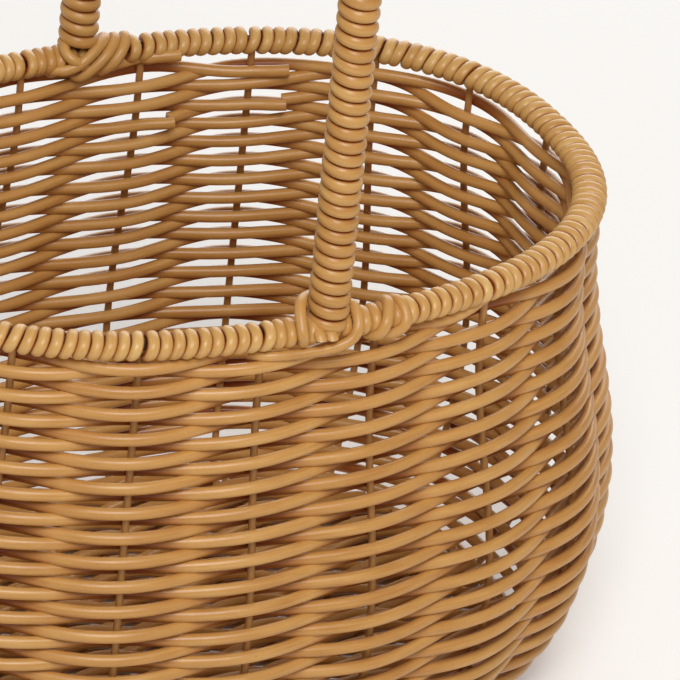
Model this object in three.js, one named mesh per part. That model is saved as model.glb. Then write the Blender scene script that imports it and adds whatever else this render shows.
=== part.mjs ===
// Oval shopping basket woven from plastic cane on a wire frame, with one fixed arch handle.
// Millimetres, +Z up, standing on the floor at z = 0. The long axis is X, and the handle
// stands across it, over Y.
import * as THREE from "three";

// Plan of the rim: a rounded oval, squarer than an ellipse
const RIM_HALF_LENGTH = 152;
const RIM_HALF_WIDTH = 108.5;
const OVAL_SQUARENESS = 2.33;
const RIM_HEIGHT = 202;

// Side wall, seen in section: straight under the rim, swelling to a belly, then turning in to the foot
const NECK_DEPTH = 18;
const BELLY_HEIGHT = 74;
const BELLY_OUT = 15.6;
const LOWER_TURN_DROP = 90;
const LOWER_TURN_IN = 66;

// Wire frame
const RIM_WIRE_RADIUS = 2;
const RIM_WIRE_SIDES = 5;
const FOOT_WIRE_RADIUS = 3;
const FOOT_SIDES = 6;
const STAKE_RADIUS = 1.5;
const STAKE_COUNT = 18;
const STAKE_STEPS = 9;
const STAKE_STEP_EASE = 1.25;
const BASE_WIRE_RADIUS = 1.5;
const BASE_WIRE_SPACING = 36;

// Plain side weave: two weavers follow each other round, one stake apart and half a pitch apart
const WEAVER_THICKNESS = 4.3;
const WEAVER_PITCH = 9.65;
const FIRST_ROW_BELOW_BINDING = 3.6;
const LAST_ROW_ABOVE_FOOT = 5.4;
const GAPS_PER_LENGTH = 72;
const STAKE_CLEARANCE = 0.7;
const STEP_GAPS = 4;
const FIRST_STAKE = 11;

// Woven base panel
const BASE_STRAND_THICKNESS = 4.1;
const BASE_STRAND_PITCH = 13;
const BASE_EDGE_MARGIN = 8;

// Binding of the rim and of the handle, and the lashings between them
const BINDING_STRAND = 4.2;
const WRAP_GROOVE = 1.3;
const RIM_SIDES = 5;
const HANDLE_SIDES = 6;
const RIM_WRAP_PITCH = 7.2;
const HANDLE_WRAP_PITCH = 8;
const LASHING_STRAND = 4;
const LASHING_LOOPS = 2;
const LASHING_SPACE = 0.9;
const LASHING_STEPS = 8;

// Handle: straight legs and an arched top
const HANDLE_CORE_RADIUS = 3.4;
const HANDLE_LEG_LENGTH = 140;
const HANDLE_TOP_RISE = 85;
const HANDLE_ARCH_POWER = 0.92;
const HANDLE_LEG_STEPS = 6;
const HANDLE_ARCH_STEPS = 32;
const CORE_STEPS = 26;

// Clearance between pieces that touch
const GAP = 0.3;

const RIM_BINDING_RADIUS = RIM_WIRE_RADIUS + GAP + BINDING_STRAND;
const HANDLE_RADIUS = HANDLE_CORE_RADIUS + GAP + BINDING_STRAND;
const FOOT_HEIGHT = FOOT_WIRE_RADIUS * Math.cos(Math.PI / FOOT_SIDES);
const FOOT_DEPTH = RIM_HEIGHT - FOOT_HEIGHT;
const BELLY_DEPTH = RIM_HEIGHT - BELLY_HEIGHT;

const cane = new THREE.MeshStandardMaterial({ color: 0xc08a4e, roughness: 0.42, metalness: 0 });
const caneLight = new THREE.MeshStandardMaterial({ color: 0xcb9a5f, roughness: 0.4, metalness: 0 });
const stakeCoat = new THREE.MeshStandardMaterial({ color: 0xa9743c, roughness: 0.5, metalness: 0 });
const steel = new THREE.MeshStandardMaterial({ color: 0x8a8d90, roughness: 0.4, metalness: 0.9 });

const UP = new THREE.Vector3(0, 0, 1);
const basket = new THREE.Group();

// A point of the oval at one angle, its half axes grown by `grow`.
function ovalPoint(angle, grow) {
  const c = Math.cos(angle);
  const s = Math.sin(angle);
  const power = 2 / OVAL_SQUARENESS;
  return new THREE.Vector2(
    (RIM_HALF_LENGTH + grow) * Math.sign(c) * Math.abs(c) ** power,
    (RIM_HALF_WIDTH + grow) * Math.sign(s) * Math.abs(s) ** power,
  );
}

// Outward direction of the oval in plan at one angle.
function ovalNormal(angle, grow) {
  const p = ovalPoint(angle, grow);
  const halfLength = RIM_HALF_LENGTH + grow;
  const halfWidth = RIM_HALF_WIDTH + grow;
  const power = OVAL_SQUARENESS - 1;
  return new THREE.Vector2(
    (Math.sign(p.x) * Math.abs(p.x / halfLength) ** power) / halfLength,
    (Math.sign(p.y) * Math.abs(p.y / halfWidth) ** power) / halfWidth,
  ).normalize();
}

// Angles of the oval at equal steps along its rim, so that the stakes stand equally far apart.
const ANGLE_STEPS = 7200;
const rimLengths = [0];
for (let i = 1; i <= ANGLE_STEPS; i++) {
  const before = ovalPoint((2 * Math.PI * (i - 1)) / ANGLE_STEPS, 0);
  const here = ovalPoint((2 * Math.PI * i) / ANGLE_STEPS, 0);
  rimLengths.push(rimLengths[i - 1] + here.distanceTo(before));
}
const RIM_LENGTH = rimLengths[ANGLE_STEPS];

function angleAlongRim(share) {
  const turns = Math.floor(share);
  const wanted = (share - turns) * RIM_LENGTH;
  let low = 0;
  let high = ANGLE_STEPS;
  while (high - low > 1) {
    const middle = (low + high) >> 1;
    if (rimLengths[middle] <= wanted) low = middle;
    else high = middle;
  }
  const rest = (wanted - rimLengths[low]) / (rimLengths[high] - rimLengths[low]);
  return 2 * Math.PI * (turns + (low + rest) / ANGLE_STEPS);
}

// How far the wall stands outside the rim's centreline at a depth below it. Below the belly it follows a
// quarter oval, of which the foot cuts off the last part.
const LAST_OF_QUARTER = 0.999;
function wallGrowth(depth) {
  if (depth <= NECK_DEPTH) return 0;
  if (depth <= BELLY_DEPTH) {
    const share = (depth - NECK_DEPTH) / (BELLY_DEPTH - NECK_DEPTH);
    return (BELLY_OUT * (1 - Math.cos(Math.PI * share))) / 2;
  }
  const share = Math.min((depth - BELLY_DEPTH) / LOWER_TURN_DROP, LAST_OF_QUARTER);
  return BELLY_OUT - LOWER_TURN_IN * (1 - Math.sqrt(1 - share * share));
}

// Depths at equal steps down the wall's own slope, so that the rows lie equally far apart on it.
const DEPTH_STEP = 0.25;
const slopeLengths = [0];
for (let depth = DEPTH_STEP; depth <= FOOT_DEPTH; depth += DEPTH_STEP) {
  const out = wallGrowth(depth) - wallGrowth(depth - DEPTH_STEP);
  slopeLengths.push(slopeLengths[slopeLengths.length - 1] + Math.hypot(DEPTH_STEP, out));
}

const WALL_LENGTH = slopeLengths[slopeLengths.length - 1];

function depthDownSlope(length) {
  const after = slopeLengths.findIndex((l) => l >= length);
  if (after < 0) return FOOT_DEPTH;
  if (after === 0) return 0;
  const rest = (length - slopeLengths[after - 1]) / (slopeLengths[after] - slopeLengths[after - 1]);
  return DEPTH_STEP * (after - 1 + rest);
}

// The wall at one angle and depth: its point, its outward normal and its downward slope.
function wallFrame(angle, depth) {
  const grow = wallGrowth(depth);
  const slope = (wallGrowth(depth + DEPTH_STEP) - wallGrowth(depth - DEPTH_STEP)) / (2 * DEPTH_STEP);
  const plan = ovalPoint(angle, grow);
  const side = ovalNormal(angle, grow);
  const size = Math.hypot(1, slope);
  return {
    point: new THREE.Vector3(plan.x, plan.y, RIM_HEIGHT - depth),
    out: new THREE.Vector3(side.x / size, side.y / size, slope / size),
    down: new THREE.Vector3((side.x * slope) / size, (side.y * slope) / size, -1 / size),
    along: new THREE.Vector3(-side.y, side.x, 0),
  };
}

// A regular section of `sides` sides, its corners on a circle of the given radius, with a flat at its foot.
function section(sides, radius) {
  return Array.from({ length: sides }, (_, i) => {
    const turn = (2 * Math.PI * (i + 0.5)) / sides;
    return new THREE.Vector2(radius * Math.sin(turn), radius * Math.cos(turn));
  });
}

// A closed solid swept along points. Each section lies square to the path, turned so that its second
// axis follows the hint given for that point. A scale for each point makes ribs.
function sweep(points, hints, shape, { closed = false, scales = null } = {}) {
  const count = points.length;
  const sides = shape.length;
  const corners = [];
  for (let i = 0; i < count; i++) {
    const before = closed ? points[(i + count - 1) % count] : points[Math.max(i - 1, 0)];
    const after = closed ? points[(i + 1) % count] : points[Math.min(i + 1, count - 1)];
    const tangent = after.clone().sub(before).normalize();
    const side = tangent.clone().cross(hints[i]).normalize();
    const top = side.clone().cross(tangent);
    const scale = scales ? scales[i] : 1;
    for (const s of shape) {
      corners.push(points[i].clone().addScaledVector(side, s.x * scale).addScaledVector(top, s.y * scale));
    }
  }
  const faces = [];
  const rings = closed ? count : count - 1;
  for (let i = 0; i < rings; i++) {
    const here = i * sides;
    const next = ((i + 1) % count) * sides;
    for (let k = 0; k < sides; k++) {
      const l = (k + 1) % sides;
      faces.push([here + k, next + k, next + l], [here + k, next + l, here + l]);
    }
  }
  if (!closed) {
    const last = (count - 1) * sides;
    for (let k = 1; k < sides - 1; k++) {
      faces.push([0, k, k + 1], [last, last + k + 1, last + k]);
    }
  }
  return solidFrom(corners, faces);
}

// A BufferGeometry from corners and faces, turned so that its faces look outwards.
function solidFrom(corners, faces) {
  const volume = faces.reduce(
    (sum, [a, b, c]) => sum + corners[a].dot(corners[b].clone().cross(corners[c])),
    0,
  );
  const turned = volume < 0 ? faces.map(([a, b, c]) => [a, c, b]) : faces;
  const geometry = new THREE.BufferGeometry();
  const places = corners.flatMap((p) => p.toArray());
  geometry.setAttribute("position", new THREE.Float32BufferAttribute(places, 3));
  geometry.setIndex(turned.flat());
  geometry.computeVertexNormals();
  return geometry;
}

function add(name, geometry, material) {
  const mesh = new THREE.Mesh(geometry, material);
  mesh.name = name;
  basket.add(mesh);
}

const twoDigits = (n) => String(n).padStart(2, "0");

// A wire bent to the oval: the rim wire inside the binding, or the foot wire on the floor.
const RING_STEPS = 2 * STAKE_COUNT;
function ovalWire(depth, height, radius, sides) {
  const grow = wallGrowth(depth);
  const points = [];
  for (let i = 0; i < RING_STEPS; i++) {
    const p = ovalPoint(angleAlongRim(i / RING_STEPS), grow);
    points.push(new THREE.Vector3(p.x, p.y, height));
  }
  return sweep(points, points.map(() => UP), section(sides, radius), { closed: true });
}

add("rim_wire", ovalWire(0, RIM_HEIGHT, RIM_WIRE_RADIUS, RIM_WIRE_SIDES), steel);
add("foot_wire", ovalWire(FOOT_DEPTH, FOOT_HEIGHT, FOOT_WIRE_RADIUS, FOOT_SIDES), cane);

// Stakes: upright wires from under the rim binding to the top of the foot wire
const STAKE_TOP_DEPTH = RIM_BINDING_RADIUS * Math.cos(Math.PI / RIM_SIDES) + GAP;
const STAKE_FOOT_LENGTH = WALL_LENGTH - FOOT_WIRE_RADIUS - GAP;
function stake(number) {
  const angle = angleAlongRim(number / STAKE_COUNT);
  const points = [];
  const hints = [];
  for (let i = 0; i <= STAKE_STEPS; i++) {
    const share = 1 - (1 - i / STAKE_STEPS) ** STAKE_STEP_EASE;
    const length = STAKE_TOP_DEPTH + (STAKE_FOOT_LENGTH - STAKE_TOP_DEPTH) * share;
    const frame = wallFrame(angle, depthDownSlope(length));
    points.push(frame.point);
    hints.push(frame.along);
  }
  return sweep(points, hints, section(4, STAKE_RADIUS));
}
for (let number = 0; number < STAKE_COUNT; number++) {
  add("stake_" + twoDigits(number + 1), stake(number), stakeCoat);
}

// How far down the slope a weaver lies, at a place counted in stake gaps from where the weave
// starts. Each turn is level, and steps down to the next over its last few gaps. The second
// weaver (start 1) keeps half a pitch under the first (start 0). The weave fills the wall, in an
// even number of gaps.
const FIRST_ROW_LENGTH = RIM_BINDING_RADIUS + FIRST_ROW_BELOW_BINDING;
const LAST_ROW_LENGTH = WALL_LENGTH - LAST_ROW_ABOVE_FOOT;
const WOVEN_TURNS = (LAST_ROW_LENGTH - FIRST_ROW_LENGTH) / WEAVER_PITCH - 1 / 2;
const WOVEN_GAPS = 2 * Math.floor((WOVEN_TURNS * STAKE_COUNT) / 2);
function weaverLevel(start, gaps) {
  const turn = gaps / STAKE_COUNT;
  const row = Math.floor(turn);
  const share = Math.max(0, (turn - row - 1) * (STAKE_COUNT / STEP_GAPS) + 1);
  const eased = share * share * (3 - 2 * share);
  return FIRST_ROW_LENGTH + WEAVER_PITCH * (row + eased + start / 2);
}

// A point of a weaver: `place` counts stake gaps from its own start, behind a stake. It passes
// outside every other stake and inside the ones between.
const WEAVER_OFFSET = STAKE_RADIUS + STAKE_CLEARANCE + WEAVER_THICKNESS / 2;
function weaverPoint(start, place) {
  const gaps = start + place;
  const angle = angleAlongRim((FIRST_STAKE + gaps) / STAKE_COUNT);
  const frame = wallFrame(angle, depthDownSlope(weaverLevel(start, gaps)));
  let offset = -WEAVER_OFFSET;
  if (Math.round(place) % 2 !== 0) {
    const span = RIM_LENGTH / STAKE_COUNT / 2;
    offset = WEAVER_OFFSET + bend(angle) * span * span / 8;
  }
  return { point: frame.point.addScaledVector(frame.out, offset), hint: frame.out };
}

// How sharply the oval turns at one angle: one over the radius of its bend, in plan.
const BEND_STEP = 0.1;
function bend(angle) {
  const a = ovalPoint(angle - BEND_STEP, 0);
  const b = ovalPoint(angle, 0);
  const c = ovalPoint(angle + BEND_STEP, 0);
  const area = Math.abs((b.x - a.x) * (c.y - a.y) - (b.y - a.y) * (c.x - a.x)) / 2;
  return (4 * area) / (a.distanceTo(b) * b.distanceTo(c) * c.distanceTo(a));
}

// One length of a weaver, with its ends butted behind a stake.
function weaverLength(start, number) {
  const first = number * GAPS_PER_LENGTH;
  const gaps = Math.min(GAPS_PER_LENGTH, WOVEN_GAPS - first);
  const places = [first];
  for (let i = 0; i < 2 * gaps; i++) places.push(first + i / 2 + 0.25);
  places.push(first + gaps);
  const made = places.map((place) => weaverPoint(start, place));
  const ends = [made[0], made[made.length - 1]];
  const tuck = GAP / 2;
  ends[0].point.addScaledVector(made[1].point.clone().sub(ends[0].point).normalize(), tuck);
  ends[1].point.addScaledVector(made[made.length - 2].point.clone().sub(ends[1].point).normalize(), tuck);
  const square = section(4, WEAVER_THICKNESS / Math.SQRT2);
  return sweep(made.map((m) => m.point), made.map((m) => m.hint), square);
}
for (let number = 0; number * GAPS_PER_LENGTH < WOVEN_GAPS; number++) {
  add("weaver_a_" + twoDigits(number + 1), weaverLength(0, number), cane);
  add("weaver_b_" + twoDigits(number + 1), weaverLength(1, number), caneLight);
}

// Base: wires laid across the foot wire, and one strand woven to and fro over and under them
const BASE_WIRE_HEIGHT = FOOT_HEIGHT + FOOT_WIRE_RADIUS + GAP + BASE_WIRE_RADIUS;
const FOOT_GROWTH = wallGrowth(FOOT_DEPTH);
const FOOT_HALF_LENGTH = RIM_HALF_LENGTH + FOOT_GROWTH;
const FOOT_HALF_WIDTH = RIM_HALF_WIDTH + FOOT_GROWTH;

// Half the oval's extent across one axis, at a distance along the other.
function halfExtent(distance, alongHalf, acrossHalf) {
  const share = Math.min(Math.abs(distance) / alongHalf, 1);
  return acrossHalf * (1 - share ** OVAL_SQUARENESS) ** (1 / OVAL_SQUARENESS);
}

const baseWirePlaces = [];
const wiresPerSide = Math.floor((FOOT_HALF_LENGTH - BASE_EDGE_MARGIN) / BASE_WIRE_SPACING);
for (let i = -wiresPerSide; i <= wiresPerSide; i++) baseWirePlaces.push(i * BASE_WIRE_SPACING);
baseWirePlaces.forEach((x, i) => {
  const reach = halfExtent(x, FOOT_HALF_LENGTH, FOOT_HALF_WIDTH);
  const wire = new THREE.CylinderGeometry(BASE_WIRE_RADIUS, BASE_WIRE_RADIUS, 2 * reach, 6);
  wire.translate(x, 0, BASE_WIRE_HEIGHT);
  add("base_wire_" + twoDigits(i + 1), wire, stakeCoat);
});

// How far along X a pass of the base strand may run: inside the foot wire, and never ending
// against a cross wire.
function passReach(pass) {
  const reach = halfExtent(pass * BASE_STRAND_PITCH, FOOT_HALF_WIDTH, FOOT_HALF_LENGTH);
  const edge = reach - BASE_EDGE_MARGIN;
  const blocking = baseWirePlaces.filter((x) => x > edge - BASE_EDGE_MARGIN);
  return Math.min(edge, ...blocking.map((x) => x - BASE_EDGE_MARGIN));
}

function baseStrand() {
  const offset = BASE_WIRE_RADIUS + GAP + BASE_STRAND_THICKNESS / 2;
  const passes = Math.floor((FOOT_HALF_WIDTH - BASE_EDGE_MARGIN) / BASE_STRAND_PITCH);
  const points = [];
  for (let pass = -passes; pass <= passes; pass++) {
    const row = pass + passes;
    const heading = row % 2 === 0 ? 1 : -1;
    const from = -heading * Math.min(passReach(pass), passReach(Math.max(pass - 1, -passes)));
    const to = heading * Math.min(passReach(pass), passReach(Math.min(pass + 1, passes)));
    const crossed = baseWirePlaces.map((x, i) => ({ x, rise: (i + row) % 2 === 0 ? offset : -offset }));
    const between = crossed.filter(({ x }) => x > Math.min(from, to) && x < Math.max(from, to));
    if (heading < 0) between.reverse();
    const settled = (end, wire) => {
      const share = 1 - (2 * Math.abs(end - wire.x)) / BASE_WIRE_SPACING;
      return { x: end, rise: wire.rise * Math.max(0, share) };
    };
    const first = settled(from, between[0]);
    const last = settled(to, between[between.length - 1]);
    for (const { x, rise } of [first, ...between, last]) {
      points.push(new THREE.Vector3(x, pass * BASE_STRAND_PITCH, BASE_WIRE_HEIGHT + rise));
    }
  }
  const square = section(4, BASE_STRAND_THICKNESS / Math.SQRT2);
  return sweep(points, points.map(() => UP), square);
}
add("base_strand", baseStrand(), cane);

// A bound sleeve round a core: the turns of a binding strand laid side by side as one winding
// ridge, with the core's bore through it. `route` gives the place and directions at a share of
// its length, and the bore has a ring wherever the core bends, but for a bend that falls at the
// sleeve's very end.
const END_SHARE = 0.002;
function boundSleeve(route, length, pitch, coreRadius, corners, bendShares) {
  const bore = (coreRadius + GAP) / Math.cos(Math.PI / corners);
  const crest = coreRadius + GAP + BINDING_STRAND;
  const turns = Math.round(length / pitch) - 1;
  const step = length / (turns + 1) / corners;
  const vertices = [];
  const put = (distance, turn, radius) => {
    const { point, side, top } = route(distance / length);
    const angle = (2 * Math.PI * turn) / corners;
    const place = point.clone().addScaledVector(side, radius * Math.sin(angle));
    vertices.push(place.addScaledVector(top, radius * Math.cos(angle)));
    return vertices.length - 1;
  };
  const crests = [];
  const grooves = [];
  for (let i = 0; i <= (turns + 1) * corners; i++) crests.push(put(i * step, i, crest));
  for (let i = 0; i <= turns * corners; i++) {
    grooves.push(put((i + corners / 2) * step, i, crest - WRAP_GROOVE));
  }
  const faces = [];
  const quad = (a, b, c, d) => faces.push([a, b, c], [a, c, d]);
  for (let i = 0; i < turns * corners; i++) {
    quad(crests[i], crests[i + 1], grooves[i + 1], grooves[i]);
    quad(grooves[i], grooves[i + 1], crests[i + 1 + corners], crests[i + corners]);
  }
  const shares = [0, ...bendShares.filter((share) => share > END_SHARE && share < 1 - END_SHARE), 1];
  const rings = shares.map((share) =>
    Array.from({ length: corners }, (_, k) => put(length * share, k, bore)),
  );
  const boreRings = rings.length - 1;
  for (let r = 0; r < boreRings; r++) {
    for (let k = 0; k < corners; k++) {
      const l = (k + 1) % corners;
      quad(rings[r][k], rings[r + 1][k], rings[r + 1][l], rings[r][l]);
    }
  }
  const lastTurn = turns * corners;
  for (let k = 0; k < corners; k++) {
    const l = (k + 1) % corners;
    quad(crests[k], rings[0][k], rings[0][l], crests[k + 1]);
    quad(crests[lastTurn + k], crests[lastTurn + k + 1], rings[boreRings][l], rings[boreRings][k]);
  }
  quad(rings[0][0], crests[0], grooves[0], crests[corners]);
  quad(rings[boreRings][0], crests[lastTurn + corners], grooves[lastTurn], crests[lastTurn]);
  return solidFrom(vertices, faces);
}

// Half way round the rim from one handle foot to the other, clear of both lashings.
const LASHING_PITCH = LASHING_STRAND + LASHING_SPACE;
const LASHING_REACH = HANDLE_RADIUS + GAP + LASHING_LOOPS * LASHING_PITCH + LASHING_STRAND / 2;
function rimRoute(fromShare, toShare) {
  return (share) => {
    const angle = angleAlongRim(fromShare + (toShare - fromShare) * share);
    const p = ovalPoint(angle, 0);
    const n = ovalNormal(angle, 0);
    const point = new THREE.Vector3(p.x, p.y, RIM_HEIGHT);
    return { point, side: new THREE.Vector3(n.x, n.y, 0), top: UP };
  };
}
const lashingShare = (LASHING_REACH + GAP) / RIM_LENGTH;
function rimBinding(fromFoot, toFoot) {
  const from = fromFoot + lashingShare;
  const to = toFoot - lashingShare;
  const bends = [];
  for (let i = Math.ceil(from * RING_STEPS); i < to * RING_STEPS; i++) {
    bends.push((i / RING_STEPS - from) / (to - from));
  }
  const length = RIM_LENGTH * (to - from);
  return boundSleeve(rimRoute(from, to), length, RIM_WRAP_PITCH, RIM_WIRE_RADIUS, RIM_SIDES, bends);
}
add("rim_binding_right", rimBinding(-0.25, 0.25), caneLight);
add("rim_binding_left", rimBinding(0.25, 0.75), caneLight);

// Handle: a core rod standing on the rim wire, straight, over the top in a flat arch, and straight down
function handleCurve() {
  const foot = RIM_HEIGHT + RIM_WIRE_RADIUS + GAP;
  const spring = RIM_HEIGHT + HANDLE_LEG_LENGTH;
  const points = [];
  for (let i = 0; i < HANDLE_LEG_STEPS; i++) {
    points.push(new THREE.Vector3(0, -RIM_HALF_WIDTH, foot + ((spring - foot) * i) / HANDLE_LEG_STEPS));
  }
  for (let i = 0; i <= HANDLE_ARCH_STEPS; i++) {
    const turn = (Math.PI * i) / HANDLE_ARCH_STEPS;
    const across = Math.sign(Math.cos(turn)) * Math.abs(Math.cos(turn)) ** HANDLE_ARCH_POWER;
    const rise = Math.sin(turn) ** HANDLE_ARCH_POWER;
    points.push(new THREE.Vector3(0, -RIM_HALF_WIDTH * across, spring + HANDLE_TOP_RISE * rise));
  }
  for (let i = 1; i <= HANDLE_LEG_STEPS; i++) {
    points.push(new THREE.Vector3(0, RIM_HALF_WIDTH, spring - ((spring - foot) * i) / HANDLE_LEG_STEPS));
  }
  return new THREE.CatmullRomCurve3(points, false, "centripetal");
}

const ALONG_X = new THREE.Vector3(1, 0, 0);
const coreCurve = handleCurve();
const corePoints = coreCurve.getSpacedPoints(CORE_STEPS);
add("handle_core", sweep(corePoints, corePoints.map(() => ALONG_X), section(5, HANDLE_CORE_RADIUS)), steel);

// The binding of the handle stands on the lashings and covers the rest of the core.
function handleBinding() {
  const coreLength = coreCurve.getLength();
  const bare = (LASHING_STRAND + GAP) / coreLength;
  const route = (share) => {
    const along = bare + (1 - 2 * bare) * share;
    const tangent = coreCurve.getTangentAt(along);
    return { point: coreCurve.getPointAt(along), side: ALONG_X, top: tangent.cross(ALONG_X).normalize() };
  };
  const bends = corePoints.map((_, i) => (i / CORE_STEPS - bare) / (1 - 2 * bare));
  const length = coreLength * (1 - 2 * bare);
  return boundSleeve(route, length, HANDLE_WRAP_PITCH, HANDLE_CORE_RADIUS, HANDLE_SIDES, bends);
}
add("handle_binding", handleBinding(), cane);

// Lashing of one handle foot: loops round the rim wire on one side of the leg, a pass under it,
// and as many loops on its other side. `turn` counts loops from the middle of the pass.
const LASHING_RADIUS = RIM_WIRE_RADIUS + GAP + LASHING_STRAND / 2;
const LASHING_CROSSING = HANDLE_CORE_RADIUS + LASHING_SPACE + LASHING_STRAND / 2;
function lashingPoint(rimShare, turn) {
  const beside = Math.max(Math.abs(turn) - 0.5, 0);
  const under = Math.min(Math.abs(turn), 0.5);
  const along = Math.sign(turn) * (2 * under * LASHING_CROSSING + beside * LASHING_PITCH);
  const angle = angleAlongRim(rimShare + along / RIM_LENGTH);
  const p = ovalPoint(angle, 0);
  const n = ovalNormal(angle, 0);
  const round = 2 * Math.PI * turn + Math.PI;
  const spoke = new THREE.Vector3(n.x * Math.sin(round), n.y * Math.sin(round), Math.cos(round));
  const onwards = new THREE.Vector3(n.x * Math.cos(round), n.y * Math.cos(round), -Math.sin(round));
  const point = new THREE.Vector3(p.x, p.y, RIM_HEIGHT).addScaledVector(spoke, LASHING_RADIUS);
  return { point, spoke, onwards };
}

// The ends are straight, square to the rim wire and one strand's thickness long. The first points
// down inside the basket and the last points inwards under the wire.
const FIRST_LASHING_TURN = -LASHING_LOOPS - 0.75;
const LAST_LASHING_TURN = LASHING_LOOPS + 1;
function lashing(rimShare, steps) {
  const count = Math.round((LAST_LASHING_TURN - FIRST_LASHING_TURN) * steps);
  const points = [];
  const hints = [];
  for (let i = 0; i <= count; i++) {
    const { point, spoke, onwards } = lashingPoint(rimShare, FIRST_LASHING_TURN + i / steps);
    if (i === 0) {
      points.push(point.clone().addScaledVector(onwards, -LASHING_STRAND));
      hints.push(spoke);
    }
    points.push(point);
    hints.push(spoke);
    if (i === count) {
      points.push(point.clone().addScaledVector(onwards, LASHING_STRAND));
      hints.push(spoke);
    }
  }
  return { points, hints };
}

// The least gap of a wound strand to itself, between points that lie more than half a loop apart along it.
function leastGap(points, steps) {
  let least = Infinity;
  for (let i = 0; i < points.length; i++) {
    for (let j = i + steps / 2; j < points.length; j++) {
      least = Math.min(least, points[i].distanceTo(points[j]));
    }
  }
  return least - LASHING_STRAND;
}

const FINE_STEPS = 64;
function addLashing(name, rimShare) {
  const { points, hints } = lashing(rimShare, LASHING_STEPS);
  const gap = leastGap(lashing(rimShare, FINE_STEPS).points, FINE_STEPS);
  console.log(name + " lies " + gap.toFixed(2) + " mm clear of itself");
  add(name, sweep(points, hints, section(5, LASHING_STRAND / 2)), cane);
}
addLashing("foot_lashing_front", 0.75);
addLashing("foot_lashing_back", 0.25);

export default basket;
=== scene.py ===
"""Oval shopping basket woven from plastic cane, with a bound rim and one bound arch handle.

The wall repeats the sizes of the solid model, in millimetres. Each piece is built in metres, in the place of
the solid that it replaces.
"""

from __future__ import annotations

import logging
import math
from dataclasses import dataclass, field
from enum import Enum
from functools import partialmethod
from typing import Any, Mapping, Sequence

import bpy
import numpy as np
from mathutils import Matrix, Vector


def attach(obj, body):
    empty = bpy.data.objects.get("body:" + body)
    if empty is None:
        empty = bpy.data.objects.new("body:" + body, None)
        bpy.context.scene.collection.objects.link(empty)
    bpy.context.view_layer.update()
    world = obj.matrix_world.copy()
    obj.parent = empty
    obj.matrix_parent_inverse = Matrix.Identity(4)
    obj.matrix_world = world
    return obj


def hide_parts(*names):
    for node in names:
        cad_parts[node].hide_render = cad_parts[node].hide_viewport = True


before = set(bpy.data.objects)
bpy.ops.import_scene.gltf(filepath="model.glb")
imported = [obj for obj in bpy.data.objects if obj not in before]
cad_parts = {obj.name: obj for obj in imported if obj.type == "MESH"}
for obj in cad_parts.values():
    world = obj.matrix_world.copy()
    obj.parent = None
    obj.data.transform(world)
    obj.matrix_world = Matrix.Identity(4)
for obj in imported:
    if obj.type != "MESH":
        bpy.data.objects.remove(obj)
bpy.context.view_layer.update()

LOG = logging.getLogger("basket")
MM = 0.001
PER_METRE = 1000.0
UP = np.array([0.0, 0.0, 1.0])
ALONG_X = np.array([1.0, 0.0, 0.0])


# Small helpers


def srgb(red: int, green: int, blue: int) -> tuple[float, float, float, float]:
    """Turns a colour as read off a screen, 0 to 255, into linear light with full alpha."""

    def linear(level: int) -> float:
        """Turns one channel into linear light."""
        share = level / 255
        return share / 12.92 if share <= 0.04045 else ((share + 0.055) / 1.055) ** 2.4

    return linear(red), linear(green), linear(blue), 1.0


def add_object(name: str, data: bpy.types.ID) -> bpy.types.Object:
    """Makes an object of some data, and adds it to the scene."""
    made = bpy.data.objects.new(name, data)
    bpy.context.scene.collection.objects.link(made)
    return made


def smooth(share: np.ndarray) -> np.ndarray:
    """Eases a share from 0 to 1 with level ends, and holds it outside them."""
    held = np.clip(share, 0.0, 1.0)
    return held * held * (3 - 2 * held)


def unit(vectors: np.ndarray) -> np.ndarray:
    """Scales each row to length one."""
    return vectors / np.linalg.norm(vectors, axis=-1, keepdims=True)


def wander(places: np.ndarray, seed: int) -> np.ndarray:
    """Gives a smooth random walk between -1 and 1, with one free value at each whole place.

    Args:
        places: Where to read the walk.
        seed: Which walk it is.

    Returns:
        The walk at each place.
    """
    first = math.floor(float(places.min())) - 1
    count = math.ceil(float(places.max())) - first + 3
    values = np.random.default_rng(seed).uniform(-1, 1, count)
    before = np.floor(places).astype(int)
    share = smooth(places - before)
    return values[before - first] * (1 - share) + values[before - first + 1] * share


def round_trip(knots: Mapping[float, float], period: float, places: np.ndarray) -> np.ndarray:
    """Reads a smooth closed curve through a few given values.

    Args:
        knots: Value at each known place.
        period: How far apart the same place comes round again.
        places: Where to read the curve.

    Returns:
        The value at each place.
    """
    known = sorted(knots)
    xs = np.array([known[-1] - period, *known, known[0] + period, known[1] + period])
    ys = np.array([knots[known[-1]], *[knots[k] for k in known], knots[known[0]], knots[known[1]]])
    slopes = np.zeros(len(xs))
    slopes[1:-1] = (ys[2:] - ys[:-2]) / (xs[2:] - xs[:-2])
    slopes[0] = slopes[len(known)]
    slopes[-1] = slopes[2]
    wrapped = known[0] + (places - known[0]) % period
    i = np.clip(np.searchsorted(xs, wrapped, side="right") - 1, 0, len(xs) - 2)
    span = xs[i + 1] - xs[i]
    t = (wrapped - xs[i]) / span
    return (
        (2 * t**3 - 3 * t**2 + 1) * ys[i]
        + (t**3 - 2 * t**2 + t) * span * slopes[i]
        + (3 * t**2 - 2 * t**3) * ys[i + 1]
        + (t**3 - t**2) * span * slopes[i + 1]
    )


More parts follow.
